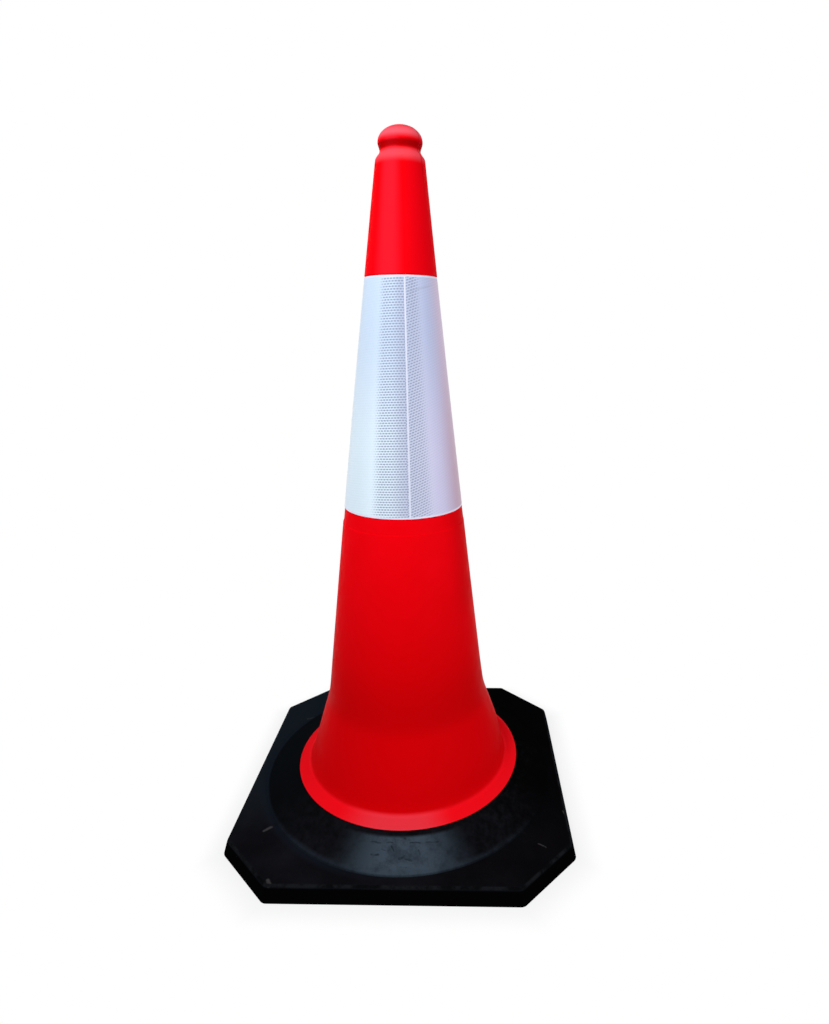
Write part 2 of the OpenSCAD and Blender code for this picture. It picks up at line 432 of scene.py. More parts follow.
def settle_out_of_true(piece):
    """Bow the axis and swell the flare a little, as the soft plastic does"""
    for point in piece.data.vertices:
        place = point.co / MM
        r = math.hypot(place.x, place.y)
        rising = ease_between(place.z, SWELL_LOW_H, SWELL_MID_H)
        swell = rising * (1 - ease_between(place.z, SWELL_MID_H, SWELL_HIGH_H))
        if r > 1 and swell > 0:
            out = swell * (SWELL_OUT + SWELL_RIGHT * place.x / r)
            place.x += out * place.x / r
            place.y += out * place.y / r
        if place.z < SWELL_MID_H and r > SPIGOT_R - 2:
            raised = max(math.cos(math.atan2(place.y, place.x) - math.radians(RAISED_AT_DEG)), 0) ** 2
            raised *= ease_between(r, SPIGOT_R - 2, FLANGE_R - 4)
            place.z += raised * RAISED_UP
            place.x += raised * RAISED_OUT * place.x / r
            place.y += raised * RAISED_OUT * place.y / r
        if place.z > FLANGE_H:
            bow = BOW_PER_MM2 * (place.z - BOW_LOW_H) ** 2 - BOW_BACK
            place.x += bow * ease_between(place.z, FLANGE_H, SWELL_MID_H)
        point.co = place * MM


def snap_lugs():
    """Hooks at the lower ends of the snap fingers, sloped below"""
    reach = SPIGOT_R + LUG_OUT
    half_w = reach * math.sin(math.radians(LUG_DEG / 2))
    lug = block("lug", (SPIGOT_R - WALL / 2, -half_w, LUG_TOP_H - LUG_H), (reach, half_w, LUG_TOP_H))
    take_points(lug, lambda p: p.z < LUG_TOP_H - LUG_H + 1)
    bpy.ops.mesh.extrude_region_move(TRANSFORM_OT_translate={"value": (0, 0, 0)})
    bpy.ops.object.mode_set(mode="OBJECT")
    take_points(lug, lambda p: p.z < LUG_TOP_H - LUG_H + 1)
    bpy.ops.mesh.remove_doubles(threshold=EPS)
    bpy.ops.object.mode_set(mode="OBJECT")
    take_points(lug, lambda p: p.z < LUG_TOP_H - LUG_H + 1 and p.x > SPIGOT_R)
    bpy.ops.transform.translate(value=((0.6 - LUG_OUT) * MM, 0, 0))
    bpy.ops.object.mode_set(mode="OBJECT")
    take_edges(lug, lambda a, b: a.x > SPIGOT_R + 3 and b.x > SPIGOT_R + 3)
    bpy.ops.mesh.bevel(offset=0.6 * MM, segments=2, affect="EDGES")
    bpy.ops.object.mode_set(mode="OBJECT")
    return round_the_axis(lug, FINGER_N)


def finger_slots():
    """Slots on both sides of each snap finger"""
    low = (SPIGOT_R - 2 * WALL, -SLOT_W / 2, SPIGOT_END_H - 2)
    high = (SPIGOT_R + 2 * WALL, SLOT_W / 2, SLOT_TOP_H)
    left = round_the_axis(block("slot_left", low, high), FINGER_N, FINGER_DEG / 2)
    right = round_the_axis(block("slot_right", low, high), FINGER_N, -FINGER_DEG / 2)
    return joined([left, right])


def make_shell():
    """The red shell with its wall, snap fingers, flange, flare, seat and head"""
    outside = turned("cone_shell", foot_rings() + cone_rings() + head_rings())
    raise_parting_line(outside)
    face_out(outside)
    inside = turned("inside", inside_rings())
    face_out(inside, inwards=True)
    shell = joined([outside, inside])
    take_edges(shell, lambda a, b: a.z < SPIGOT_END_H + 0.1 and b.z < SPIGOT_END_H + 0.1)
    bpy.ops.mesh.bridge_edge_loops()
    bpy.ops.object.mode_set(mode="OBJECT")
    cut_or_add(shell, finger_slots(), "DIFFERENCE")
    cut_or_add(shell, snap_lugs(), "UNION")
    settle_out_of_true(shell)
    smooth(shell, 40)
    return shell


def make_sheet(name, seam_deg):
    """One sheet: it starts as a lap over the other sheet's end, steps down and runs half way round"""
    low_r = cone_r(SHEET_LOW_H) - SEAT_DEPTH + GLUE_T + LAP_OUT
    high_r = cone_r(SHEET_HIGH_H) - SEAT_DEPTH + GLUE_T + LAP_OUT
    height = SHEET_HIGH_H - SHEET_LOW_H
    put_down()
    bpy.ops.mesh.primitive_plane_add(
        size=1,
        location=((low_r + SHEET_T / 2) * MM, 0, (SHEET_LOW_H + height / 2) * MM),
        rotation=(math.pi / 2, 0, 0),
    )
    sheet = bpy.context.object
    sheet.name = name
    sheet.scale = (SHEET_T * MM, height * MM, 1)
    bpy.ops.object.transform_apply(location=True, rotation=True, scale=True)
    take_points(sheet, lambda p: p.z > SHEET_HIGH_H - 1)
    bpy.ops.transform.translate(value=((high_r - low_r) * MM, 0, 0))
    bpy.ops.object.mode_set(mode="OBJECT")
    sheet.rotation_euler = (0, 0, math.radians(seam_deg))
    joined([sheet])
    bpy.ops.object.mode_set(mode="EDIT")
    bpy.ops.mesh.select_all(action="SELECT")
    bpy.ops.mesh.spin(steps=6, angle=-math.radians(LAP_DEG), center=(0, 0, 0), axis=(0, 0, 1))
    bpy.ops.mesh.spin(steps=1, angle=-math.radians(LAP_STEP_DEG), center=(0, 0, 0), axis=(0, 0, 1))
    stepped = math.radians(seam_deg + LAP_DEG + LAP_STEP_DEG)
    inward = -LAP_OUT * MM
    bpy.ops.transform.translate(value=(inward * math.cos(stepped), inward * math.sin(stepped), 0))
    rest_deg = HALF_SHEET_DEG - LAP_DEG - LAP_STEP_DEG
    bpy.ops.mesh.spin(steps=96, angle=-math.radians(rest_deg), center=(0, 0, 0), axis=(0, 0, 1))
    face_out(sheet)
    lay_out_flat(sheet, seam_deg)
    for i in range(1, 8):
        take_points(sheet, lambda p: True)
        bpy.ops.mesh.bisect(plane_co=(0, 0, (SHEET_LOW_H + height * i / 8) * MM), plane_no=(0, 0, 1))
        bpy.ops.object.mode_set(mode="OBJECT")
    settle_out_of_true(sheet)
    smooth(sheet, 30)
    return sheet


def lay_out_flat(sheet, seam_deg):
    """UV map of the sheet as it was cut, in metres: flat round the cone's point, level at its last edge"""
    lean = math.atan((FLARE_TOP_R - CONE_TOP_R) / (SHOULDER_H - FLARE_TOP_H))
    point_h = SHOULDER_H + CONE_TOP_R / math.tan(lean)
    flat = sheet.data.uv_layers.new(name="cut_flat")
    points = sheet.data.vertices
    for face in sheet.data.polygons:
        middle = math.degrees(math.atan2(face.center.y, face.center.x)) - seam_deg
        middle %= 360
        for corner in face.loop_indices:
            place = points[sheet.data.loops[corner].vertex_index].co / MM
            round_deg = math.degrees(math.atan2(place.y, place.x)) - seam_deg
            round_deg = middle + (round_deg - middle + 180) % 360 - 180
            turn = math.radians(round_deg - 180) * math.sin(lean)
            along = (point_h - place.z) / math.cos(lean)
            flat.data[corner].uv = (along * math.sin(turn) * MM, -along * math.cos(turn) * MM)


def rim_slab():
    """Octagon slab with leaning walls and rounded edges"""
    slab = block("rubber_base_moulding", (-BASE_HALF_W, -BASE_HALF_W, 0), (BASE_HALF_W, BASE_HALF_W, RIM_H))
    lean = math.radians(WALL_DEG)
    for i in range(8):
        side = math.radians(45 * i)
        distance = (CUT_CORNER_R if i % 2 else BASE_HALF_W) * MM
        take_points(slab, lambda p: True)
        bpy.ops.mesh.bisect(
            plane_co=(distance * math.cos(side), distance * math.sin(side), 0),
            plane_no=(math.cos(side) * math.cos(lean), math.sin(side) * math.cos(lean), math.sin(lean)),
            use_fill=True,
            clear_outer=True,
        )
        bpy.ops.object.mode_set(mode="OBJECT")
    take_edges(slab, lambda a, b: max(a.z, b.z) > RIM_H - 0.1)
    bpy.ops.mesh.bevel(offset=EDGE_ROUND_OFFSET * MM, segments=6, profile=0.5, affect="EDGES")
    bpy.ops.object.mode_set(mode="OBJECT")
    take_edges(slab, lambda a, b: max(a.z, b.z) < 0.1)
    bpy.ops.mesh.bevel(offset=1.2 * MM, segments=2, profile=0.5, affect="EDGES")
    bpy.ops.object.mode_set(mode="OBJECT")
    return slab


def hill_ring():
    """The raised middle with its sloping top, rounded shoulder and hollow foot"""
    slope = math.tan(FLANGE_SLOPE)
    rings = [(OPENING_R - 2, LEDGE_H), (OPENING_R - 2, hill_z(OPENING_R - 2))]
    rings += straight(rings[-1], (HILL_R - 3, hill_z(HILL_R - 3)), 6)
    shoulder = (HILL_R - 3, hill_z(HILL_R - 3))
    rings += bend(shoulder, (HILL_R - 0.4, shoulder[1] - 2.6 * slope), (HILL_R, RIM_H + 1.2), 5)
    rings += bend((HILL_R, RIM_H + 1.1), (HILL_R + 0.1, RIM_H), (HILL_R + 1.6, RIM_H - 0.15), 4)
    rings += [(HILL_R + 1.6, LEDGE_H)]
    return turned_ring("hill", rings)


def sole_hollows():
    """Opening, counterbore and pockets that are cut into the rubber from below"""
    opening = turned_plug("opening", [
        (COUNTERBORE_R, -5), (COUNTERBORE_R, LEDGE_H), (OPENING_R, LEDGE_H), (OPENING_R, 90),
    ])
    pockets = turned_ring("pockets", [
        (POCKET_IN_R, -5), (POCKET_OUT_R, -5),
        (POCKET_OUT_R, hill_z(POCKET_OUT_R) - POCKET_ROOF), (POCKET_IN_R, hill_z(POCKET_IN_R) - POCKET_ROOF),
    ])
    rib = block("rib", (POCKET_IN_R - 10, -RIB_T / 2, -8), (POCKET_OUT_R + 10, RIB_T / 2, 80))
    cut_or_add(pockets, round_the_axis(rib, RIB_N, 180 / RIB_N), "DIFFERENCE")
    put_down()
    bpy.ops.mesh.primitive_cylinder_add(
        vertices=48, radius=CORNER_POCKET_R * MM, depth=(CORNER_POCKET_H + 5) * MM,
        location=(CORNER_POCKET_PLACE_R * MM, 0, (CORNER_POCKET_H - 5) / 2 * MM),
    )
    corner = joined([bpy.context.object])
    corners = round_the_axis(corner, 4, 45)
    return joined([opening, pockets, corners])


def make_rubber():
    """The rubber base: slab and hill in one, hollow below"""
    rubber = rim_slab()
    cut_or_add(rubber, hill_ring(), "UNION")
    cut_or_add(rubber, sole_hollows(), "DIFFERENCE")
    smooth(rubber, 32)
    return rubber


class Nodes:
    """Material node tree with short ways to add and join nodes"""

    def __init__(self, name):
        self.material = bpy.data.materials.new(name)
        self.material.use_nodes = True
        self.tree = self.material.node_tree
        self.shader = self.tree.nodes["Principled BSDF"]

    def add(self, kind, settings=None, **inputs):
        node = self.tree.nodes.new(kind)
        for key, value in (settings or {}).items():
            setattr(node, key, value)
        for key, value in inputs.items():
            self.feed(node.inputs[key.replace("_", " ")], value)
        return node

    def feed(self, socket, value):
        if isinstance(value, bpy.types.NodeSocket):
            self.tree.links.new(value, socket)
        else:
            socket.default_value = value

    def math(self, operation, a, b=0.0, c=0.0):
        node = self.tree.nodes.new("ShaderNodeMath")
        node.operation = operation
        for socket, value in zip(node.inputs, (a, b, c)):
            self.feed(socket, value)
        return node.outputs[0]

    def band(self, value, low, high, at_low=0.0, at_high=1.0, kind="SMOOTHSTEP"):
        """Soft step of a value from low to high"""
        node = self.tree.nodes.new("ShaderNodeMapRange")
        node.interpolation_type = kind
        for key, number in (("Value", value), ("From Min", low), ("From Max", high), ("To Min", at_low), ("To Max", at_high)):
            self.feed(node.inputs[key], number)
        return node.outputs["Result"]

    def mix(self, factor, a, b, blend="MIX"):
        node = self.tree.nodes.new("ShaderNodeMix")
        node.data_type = "RGBA"
        node.blend_type = blend
        self.feed(node.inputs[0], factor)
        self.feed(node.inputs[6], a)
        self.feed(node.inputs[7], b)
        return node.outputs[2]

    def place(self):
        return self.add("ShaderNodeTexCoord").outputs["Object"]

    def round_and_out(self, axes):
        """Angle round the cone's axis and distance from it"""
        around = self.math("ARCTAN2", axes.outputs["Y"], axes.outputs["X"])
        flat = self.add("ShaderNodeCombineXYZ", X=axes.outputs["X"], Y=axes.outputs["Y"]).outputs[0]
        return around, self.add("ShaderNodeVectorMath", {"operation": "LENGTH"}, Vector=flat).outputs["Value"]

    def strokes(self, place, marks):
        """Soft mask of straight strokes, seen from above"""
        wander = self.add("ShaderNodeTexNoise", Vector=place, Scale=90.0, Detail=3.0)
        moved = self.add("ShaderNodeVectorMath", {"operation": "MULTIPLY_ADD"})
        self.feed(moved.inputs[0], wander.outputs["Color"])
        moved.inputs[1].default_value = (0.0045, 0.0045, 0)
        self.feed(moved.inputs[2], place)
        flat = self.add("ShaderNodeVectorMath", {"operation": "MULTIPLY_ADD"})
        self.feed(flat.inputs[0], moved.outputs[0])
        flat.inputs[1].default_value = (1, 1, 0)
        flat.inputs[2].default_value = (-0.00225, -0.00225, 0)
        mask = 0.0
        for start, end, half_w in marks:
            along = Vector((end[0] - start[0], end[1] - start[1], 0)) * MM
            away = self.add("ShaderNodeVectorMath", {"operation": "SUBTRACT"})
            self.feed(away.inputs[0], flat.outputs[0])
            away.inputs[1].default_value = (start[0] * MM, start[1] * MM, 0)
            share = self.add("ShaderNodeVectorMath", {"operation": "DOT_PRODUCT"})
            self.feed(share.inputs[0], away.outputs[0])
            share.inputs[1].default_value = along / along.length_squared
            share = self.band(share.outputs["Value"], 0, 1, kind="LINEAR")
            reach = self.add("ShaderNodeVectorMath", {"operation": "SCALE"}, Scale=share)
            reach.inputs[0].default_value = along
            off = self.add("ShaderNodeVectorMath", {"operation": "DISTANCE"})
            self.feed(off.inputs[0], away.outputs[0])
            self.feed(off.inputs[1], reach.outputs[0])
            one = self.band(off.outputs["Value"], half_w * MM, 0.3 * half_w * MM)
            mask = self.math("MAXIMUM", mask, one)
        return mask

    def noise(self, vector, scale, detail=3.0, rough=0.5):
        node = self.add("ShaderNodeTexNoise", Vector=vector, Scale=scale, Detail=detail, Roughness=rough)
        return node.outputs["Fac"]

    def bump(self, height, distance, strength=1.0):
        node = self.add("ShaderNodeBump", Height=height, Distance=distance, Strength=strength)
        return node.outputs["Normal"]


def red_plastic():
    """Bright red moulded polyethylene with a cloudy tone, with painted shade low down, in the fold, on the right and
    under the bulb, and painted highlights on the dome, shoulder, upper front and flange
    """
    n = Nodes("red_plastic_moulded")
    place = n.place()
    axes = n.add("ShaderNodeSeparateXYZ", Vector=place)
    height = axes.outputs["Z"]
    around, radius = n.round_and_out(axes)
    cloud = n.noise(place, 7.0, 4.0, 0.55)
    red = n.mix(n.band(cloud, 0.35, 0.65), (0.90, 0.0006, 0.004, 1), (0.96, 0.0010, 0.006, 1))
    # Painted shade: the lower body is darkened towards the foot, where less light falls.
    low_body_painted_shade = n.band(height, 0.46, 0.2)
    red = n.mix(n.math("MULTIPLY", low_body_painted_shade, 0.85), red, (0.66, 0.0001, 0.0018, 1))
    # Painted shade in the concave fold above the flare.
    fold_painted_shade = n.math("MULTIPLY", n.band(height, 0.150, 0.174), n.band(height, 0.265, 0.185))
    red = n.mix(n.math("MULTIPLY", fold_painted_shade, 0.45), red, (0.52, 0.0002, 0.0015, 1))
    # Painted shade on the right side of the lower cone, turned away from the light.
    turned_off_painted_shade = n.math("MULTIPLY", n.band(around, math.radians(-50), math.radians(-22)), n.band(around, math.radians(60), math.radians(10)))
    turned_off_painted_shade = n.math("MULTIPLY", turned_off_painted_shade, n.math("MULTIPLY", n.band(height, 0.29, 0.35), n.band(height, 0.475, 0.465)))
    red = n.mix(n.math("MULTIPLY", turned_off_painted_shade, 0.5), red, (0.60, 0.0002, 0.0020, 1))
    # Painted highlight on the upper cone's front left, and painted shade on its right side.
    painted_sheen_upper = n.math("MULTIPLY", n.band(around, math.radians(-134), math.radians(-111)), n.band(around, math.radians(-76), math.radians(-99)))
    painted_sheen_upper = n.math("MULTIPLY", painted_sheen_upper, n.band(height, 0.78, 0.81))
    red = n.mix(painted_sheen_upper, red, (0.97, 0.0097, 0.0235, 1))
    shaded = n.math("MULTIPLY", n.band(around, math.radians(-80), math.radians(-55)), n.band(height, 0.78, 0.81))
    red = n.mix(n.math("MULTIPLY", shaded, n.band(around, math.radians(60), math.radians(10))), red, (0.89, 0.0006, 0.0060, 1))
    # Painted light: the up-facing flange is kept bright red, free of the painted shade of the lower body.
    flange = n.math("MULTIPLY", n.band(radius, 0.1558, 0.1598), n.band(height, 0.085, 0.07))
    red = n.mix(flange, red, (1.0, 0.0048, 0.012, 1))
    # Painted highlight, pinkish, on the front of the flange.
    painted_flange_highlight = n.math("MULTIPLY", n.band(around, math.radians(-122), math.radians(-98)), n.band(around, math.radians(-62), math.radians(-80)))
    red = n.mix(n.math("MULTIPLY", flange, painted_flange_highlight), red, (0.92, 0.037, 0.058, 1))
    # Painted shade on the underside of the bulb.
    under_bulb_painted_shade = n.math("MULTIPLY", n.band(height, 0.9785, 0.9735), n.band(height, 0.9645, 0.9700))
    red = n.mix(n.math("MULTIPLY", under_bulb_painted_shade, 0.9), red, (0.37, 0.0002, 0.0010, 1))
    # Painted highlight, pinkish, all round the top of the dome.
    dome = n.math("MULTIPLY", n.band(height, 0.977, 0.986), n.band(height, 0.996, 0.988, 0.35, 1.0))
    red = n.mix(n.math("MULTIPLY", dome, 0.9), red, (0.93, 0.115, 0.155, 1))
    # Painted highlight, pinkish, all round the shoulder up to the neck.
    shoulder = n.math("MULTIPLY", n.band(height, 0.946, 0.9575), n.band(height, 0.968, 0.961))
    red = n.mix(n.math("MULTIPLY", shoulder, 0.9), red, (0.95, 0.072, 0.102, 1))
    line_off = n.math("ABSOLUTE", n.math("SUBTRACT", around, math.radians(PARTING_LINE_DEG)))
    line = n.math("MULTIPLY", n.band(line_off, math.radians(3.0), math.radians(0.8)), n.band(height, 0.87, 0.97, 0.0, 0.5))
    red = n.mix(line, red, (0.42, 0.0010, 0.0060, 1))
    n.feed(n.shader.inputs["Base Color"], red)
    scuffs = n.noise(place, 55.0, 5.0, 0.6)
    n.feed(n.shader.inputs["Roughness"], n.band(scuffs, 0.3, 0.75, 0.38, 0.5))
    grain = n.noise(place, 900.0, 2.0, 0.5)
    n.feed(n.shader.inputs["Normal"], n.bump(grain, 0.00008, 0.35))
    n.shader.inputs["Specular IOR Level"].default_value = 0.005
    return n.material


def white_sheet():
    """Smooth white reflective sheet over a honeycomb of seal points, with the points shown as a painted reflection
    across the front, and painted light and shade in its colour: lighter and bluer on the left and low down, darker
    lavender on the right, pinkish at the far right and grey near the front seam
    """
    n = Nodes("white_reflective_sheet")
    flat = n.add("ShaderNodeUVMap", {"uv_map": "cut_flat"}).outputs["UV"]
    uv = n.add("ShaderNodeSeparateXYZ", Vector=flat)
    pitch, row = 0.0043, 0.00353
    spots = []
    for shift in (0.0, 0.5):
        x = n.math("SUBTRACT", n.math("FRACT", n.math("ADD", n.math("DIVIDE", uv.outputs["X"], pitch), shift)), 0.5)
        y = n.math("SUBTRACT", n.math("FRACT", n.math("ADD", n.math("DIVIDE", uv.outputs["Y"], 2 * row), shift)), 0.5)
        x = n.math("MULTIPLY", x, 0.62 * pitch)
        y = n.math("MULTIPLY", y, 2.2 * row)
        spots.append(n.math("SQRT", n.math("ADD", n.math("MULTIPLY", x, x), n.math("MULTIPLY", y, y))))
    nearest = n.math("MINIMUM", spots[0], spots[1])
    dots = n.band(nearest, 0.0015, 0.0008)
    axes = n.add("ShaderNodeSeparateXYZ", Vector=n.place())
    around, radius = n.round_and_out(axes)
    # Painted reflection: the seal points show strongly only across the front and fade off to the sides.
    painted_reflection_left = n.band(around, math.radians(-119), math.radians(-107), 0.06, 1.0)
    painted_reflection_right = n.band(around, math.radians(-66), math.radians(-54), 1.0, 0.16)
    dots_in_painted_reflection = n.math("MULTIPLY", painted_reflection_left, painted_reflection_right)
    # Painted light and shade: the sheet is painted lighter and bluer on the left and low down, darker lavender on the
    # right.
    turn = n.math("MULTIPLY", n.band(around, math.radians(-105), math.radians(-45)), n.band(around, math.radians(170), math.radians(110)))
    lower = n.band(axes.outputs["Z"], 0.74, 0.55)
    left = n.mix(lower, (0.62, 0.75, 0.92, 1), (0.77, 0.90, 1.0, 1))
    right = n.mix(lower, (0.55, 0.61, 0.85, 1), (0.69, 0.67, 0.905, 1))
    ground = n.mix(turn, left, right)
    # Painted shade, grey, across the front near the seam.
    painted_shade_near_seam = n.math("MULTIPLY", n.band(around, math.radians(-98), math.radians(-84)), n.band(around, math.radians(-50), math.radians(-68)))
    ground = n.mix(n.math("MULTIPLY", painted_shade_near_seam, 0.5), ground, (0.50, 0.54, 0.70, 1))
    # Painted light: the far right of the sheet is painted pinkish, darker towards its lower edge.
    far_right_painted_tint = n.math("MULTIPLY", n.band(around, math.radians(-48), math.radians(-15)), n.band(around, math.radians(120), math.radians(40)))
    far_right_painted_colour = n.mix(n.band(axes.outputs["Z"], 0.79, 0.47), (0.73, 0.60, 0.79, 1), (0.59, 0.38, 0.50, 1))
    ground = n.mix(far_right_painted_tint, ground, far_right_painted_colour)
    inked = n.mix(n.math("MULTIPLY", dots, n.math("MULTIPLY", dots_in_painted_reflection, 0.9)), ground, (0.27, 0.31, 0.45, 1))
    height = axes.outputs["Z"]
    low_edge = n.band(height, (SHEET_LOW_H + 3.2) * MM, (SHEET_LOW_H + 1.8) * MM)
    high_edge = n.band(height, (SHEET_HIGH_H - 3.2) * MM, (SHEET_HIGH_H - 1.8) * MM)
    hem = n.math("MAXIMUM", low_edge, high_edge)
    past_seam = n.math("ADD", n.math("DIVIDE", n.math("SUBTRACT", around, math.radians(FRONT_SEAM_DEG)), math.pi), 2.0)
    from_seam = n.math("MULTIPLY", n.math("MULTIPLY", n.math("FRACT", past_seam), math.pi), radius)
    hem = n.math("MAXIMUM", hem, n.band(from_seam, 0.0028, 0.0021))
    crease = n.math("SUBTRACT", height, n.band(around, math.radians(-79), math.radians(-10), 0.7785, 0.7935, kind="LINEAR"))
    crease = n.math("MULTIPLY", n.band(n.math("ABSOLUTE", crease), 0.0018, 0.0005), n.band(around, math.radians(-81), math.radians(-78)))
    inked = n.mix(n.math("MULTIPLY", crease, n.band(around, math.radians(-20), math.radians(-50), 0.0, 0.4)), inked, (0.36, 0.40, 0.55, 1))
    colour = n.mix(hem, inked, (0.76, 0.79, 0.94, 1))
    n.feed(n.shader.inputs["Base Color"], colour)
    n.shader.inputs["Roughness"].default_value = 0.35
    n.shader.inputs["Specular IOR Level"].default_value = 0.3
    n.feed(n.shader.inputs["Normal"], n.bump(dots, 0.00006, 0.4))
    return n.material


def black_rubber():
    """Near-black moulded rubber with dust, scuffs and marks, and with painted sheen on the hill's front and back left,
    painted highlight lines at the hill's foot and top edge, and painted shade on the right side and the walls
    """
    n = Nodes("black_rubber_moulded")
    place = n.place()
    axes = n.add("ShaderNodeSeparateXYZ", Vector=place)
    height = axes.outputs["Z"]
    around, radius = n.round_and_out(axes)
    cloud = n.noise(place, 9.0, 5.0, 0.6)
    fine = n.noise(place, 120.0, 4.0, 0.6)
    rim = n.mix(n.band(cloud, 0.35, 0.65), (0.0048, 0.0050, 0.0066, 1), (0.0086, 0.0093, 0.0122, 1))
    on_hill = n.band(radius, 0.2295, 0.2265)
    colour = n.mix(on_hill, rim, (0.0024, 0.0026, 0.0030, 1))
    # Painted sheen, bluish, on the rim and hill at the back left.
    painted_sheen_back_left = n.math("MULTIPLY", n.band(axes.outputs["X"], -0.06, -0.17), n.band(axes.outputs["Y"], -0.17, 0.0))
    painted_sheen_back_left = n.math("MULTIPLY", painted_sheen_back_left, n.band(radius, 0.2225, 0.2275, 0.2, 1.0))
    colour = n.mix(n.math("MULTIPLY", painted_sheen_back_left, 0.8), colour, (0.0098, 0.0168, 0.0235, 1))
    # Painted highlight, a light line on the rim beside the hill's foot on the left.
    painted_highlight_beside_hill = n.math("MULTIPLY", n.band(radius, 0.2225, 0.2265), n.band(radius, 0.241, 0.231))
    painted_highlight_beside_hill = n.math("MULTIPLY", painted_highlight_beside_hill, n.band(axes.outputs["X"], 0.02, -0.12))
    colour = n.mix(n.math("MULTIPLY", painted_highlight_beside_hill, 0.55), colour, (0.0088, 0.0122, 0.0205, 1))
    # Painted shade on the right side of the base.
    right_side_painted_shade = n.math("MULTIPLY", n.band(axes.outputs["X"], -0.04, 0.13), n.band(axes.outputs["Y"], -0.24, -0.02, 0.5, 0.85))
    colour = n.mix(right_side_painted_shade, colour, (0.0013, 0.0013, 0.0015, 1))
    rubbed = n.math("MULTIPLY", n.band(around, math.radians(-165), math.radians(-120)), n.band(around, math.radians(-10), math.radians(-60)))
    rubbed = n.math("MULTIPLY", rubbed, n.band(n.noise(place, 60.0, 6.0, 0.75), 0.35, 0.65, 0.25, 1.0))
    colour = n.mix(n.math("MULTIPLY", n.math("MULTIPLY", rubbed, on_hill), 0.8), colour, (0.0085, 0.0090, 0.0120, 1))
    dust = n.math("MULTIPLY", n.band(cloud, 0.5, 0.75), n.band(fine, 0.45, 0.7))
    colour = n.mix(n.math("MULTIPLY", dust, 0.1), colour, (0.030, 0.033, 0.038, 1))
    # Painted sheen, bluish grey and mottled, on the front of the hill; it is cut away next to the flange's edge,
    # leaving a painted shadow line.
    near_left = n.band(around, math.radians(-116), math.radians(-92))
    near_right = n.band(around, math.radians(-59), math.radians(-82))
    painted_sheen_front = n.math("MULTIPLY", n.math("MULTIPLY", near_left, near_right), on_hill)
    mottle = n.noise(place, 42.0, 7.0, 0.72)
    painted_sheen_front = n.math("MULTIPLY", painted_sheen_front, n.band(mottle, 0.32, 0.6, 0.5, 1.0))
    painted_sheen_front = n.math("MULTIPLY", painted_sheen_front, n.band(radius, 0.1795, 0.1845))
    colour = n.mix(painted_sheen_front, colour, (0.052, 0.078, 0.104, 1))
    # Painted highlight, a light line along the hill's foot at the front.
    beside = n.math("MULTIPLY", n.band(around, math.radians(-150), math.radians(-125)), n.band(around, math.radians(-30), math.radians(-55)))
    foot = n.math("MULTIPLY", n.band(radius, 0.220, 0.2265), n.math("MULTIPLY", on_hill, beside))
    colour = n.mix(n.math("MULTIPLY", foot, n.band(mottle, 0.4, 0.6, 0.1, 0.3)), colour, (0.030, 0.042, 0.060, 1))
    colour = n.mix(n.math("MULTIPLY", n.strokes(place, DARK_MARKS), n.band(fine, 0.35, 0.65, 0.1, 0.75)), colour, (0.006, 0.008, 0.009, 1))
    colour = n.mix(n.math("MULTIPLY", n.strokes(place, PALE_MARKS), n.band(fine, 0.35, 0.6, 0.15, 0.6)), colour, (0.075, 0.076, 0.078, 1))
    # Painted shade on the leaning walls, darker than the top.
    wall = n.band(height, 0.0205, 0.0185)
    colour = n.mix(wall, colour, (0.0011, 0.0011, 0.0012, 1))
    edge = n.math("MULTIPLY", n.band(height, 0.0196, 0.0212), n.band(height, 0.02295, 0.0224))
    lit_edge = n.math("MAXIMUM", n.band(axes.outputs["Y"], 0.05, -0.2, 0.1, 1.0), n.band(axes.outputs["X"], 0.17, 0.22))
    colour = n.mix(n.math("MULTIPLY", edge, lit_edge), colour, n.mix(n.band(mottle, 0.4, 0.6), (0.003, 0.0035, 0.004, 1), (0.010, 0.011, 0.013, 1)))
    n.feed(n.shader.inputs["Base Color"], colour)
    n.feed(n.shader.inputs["Roughness"], n.band(fine, 0.3, 0.7, 0.45, 0.6))
    pores = n.noise(place, 700.0, 3.0, 0.6)
    n.feed(n.shader.inputs["Normal"], n.bump(pores, 0.00012, 0.5))
    n.shader.inputs["Specular IOR Level"].default_value = 0.0003
    return n.material


def finish_with(piece, material):
    piece.data.materials.clear()
    piece.data.materials.append(material)


def white_for_the_eye(nodes, links, shade, output, plain, seen_share):
    """Mix of a plain shader and plain white, which camera, glossy and transmission rays see"""
    white = nodes.new("ShaderNodeBackground" if shade == "world" else "ShaderNodeEmission")
    white.inputs["Color"].default_value = (1, 1, 1, 1)
    white.inputs["Strength"].default_value = 1.0
    rays = nodes.new("ShaderNodeLightPath")
    seen = rays.outputs["Is Camera Ray"]
    for other in ("Is Glossy Ray", "Is Transmission Ray"):
        both = nodes.new("ShaderNodeMath")
        both.operation = "MAXIMUM"
        links.new(seen, both.inputs[0])
        links.new(rays.outputs[other], both.inputs[1])
        seen = both.outputs[0]
    share = nodes.new("ShaderNodeMath")
    share.operation = "MULTIPLY"
    links.new(seen, share.inputs[0])
    if isinstance(seen_share, float):
        share.inputs[1].default_value = seen_share
    else:
        links.new(seen_share, share.inputs[1])
    mixed = nodes.new("ShaderNodeMixShader")
    links.new(share.outputs[0], mixed.inputs[0])
    links.new(plain.outputs[0], mixed.inputs[1])
    links.new(white.outputs[0], mixed.inputs[2])
    links.new(mixed.outputs[0], output.inputs["Surface"])


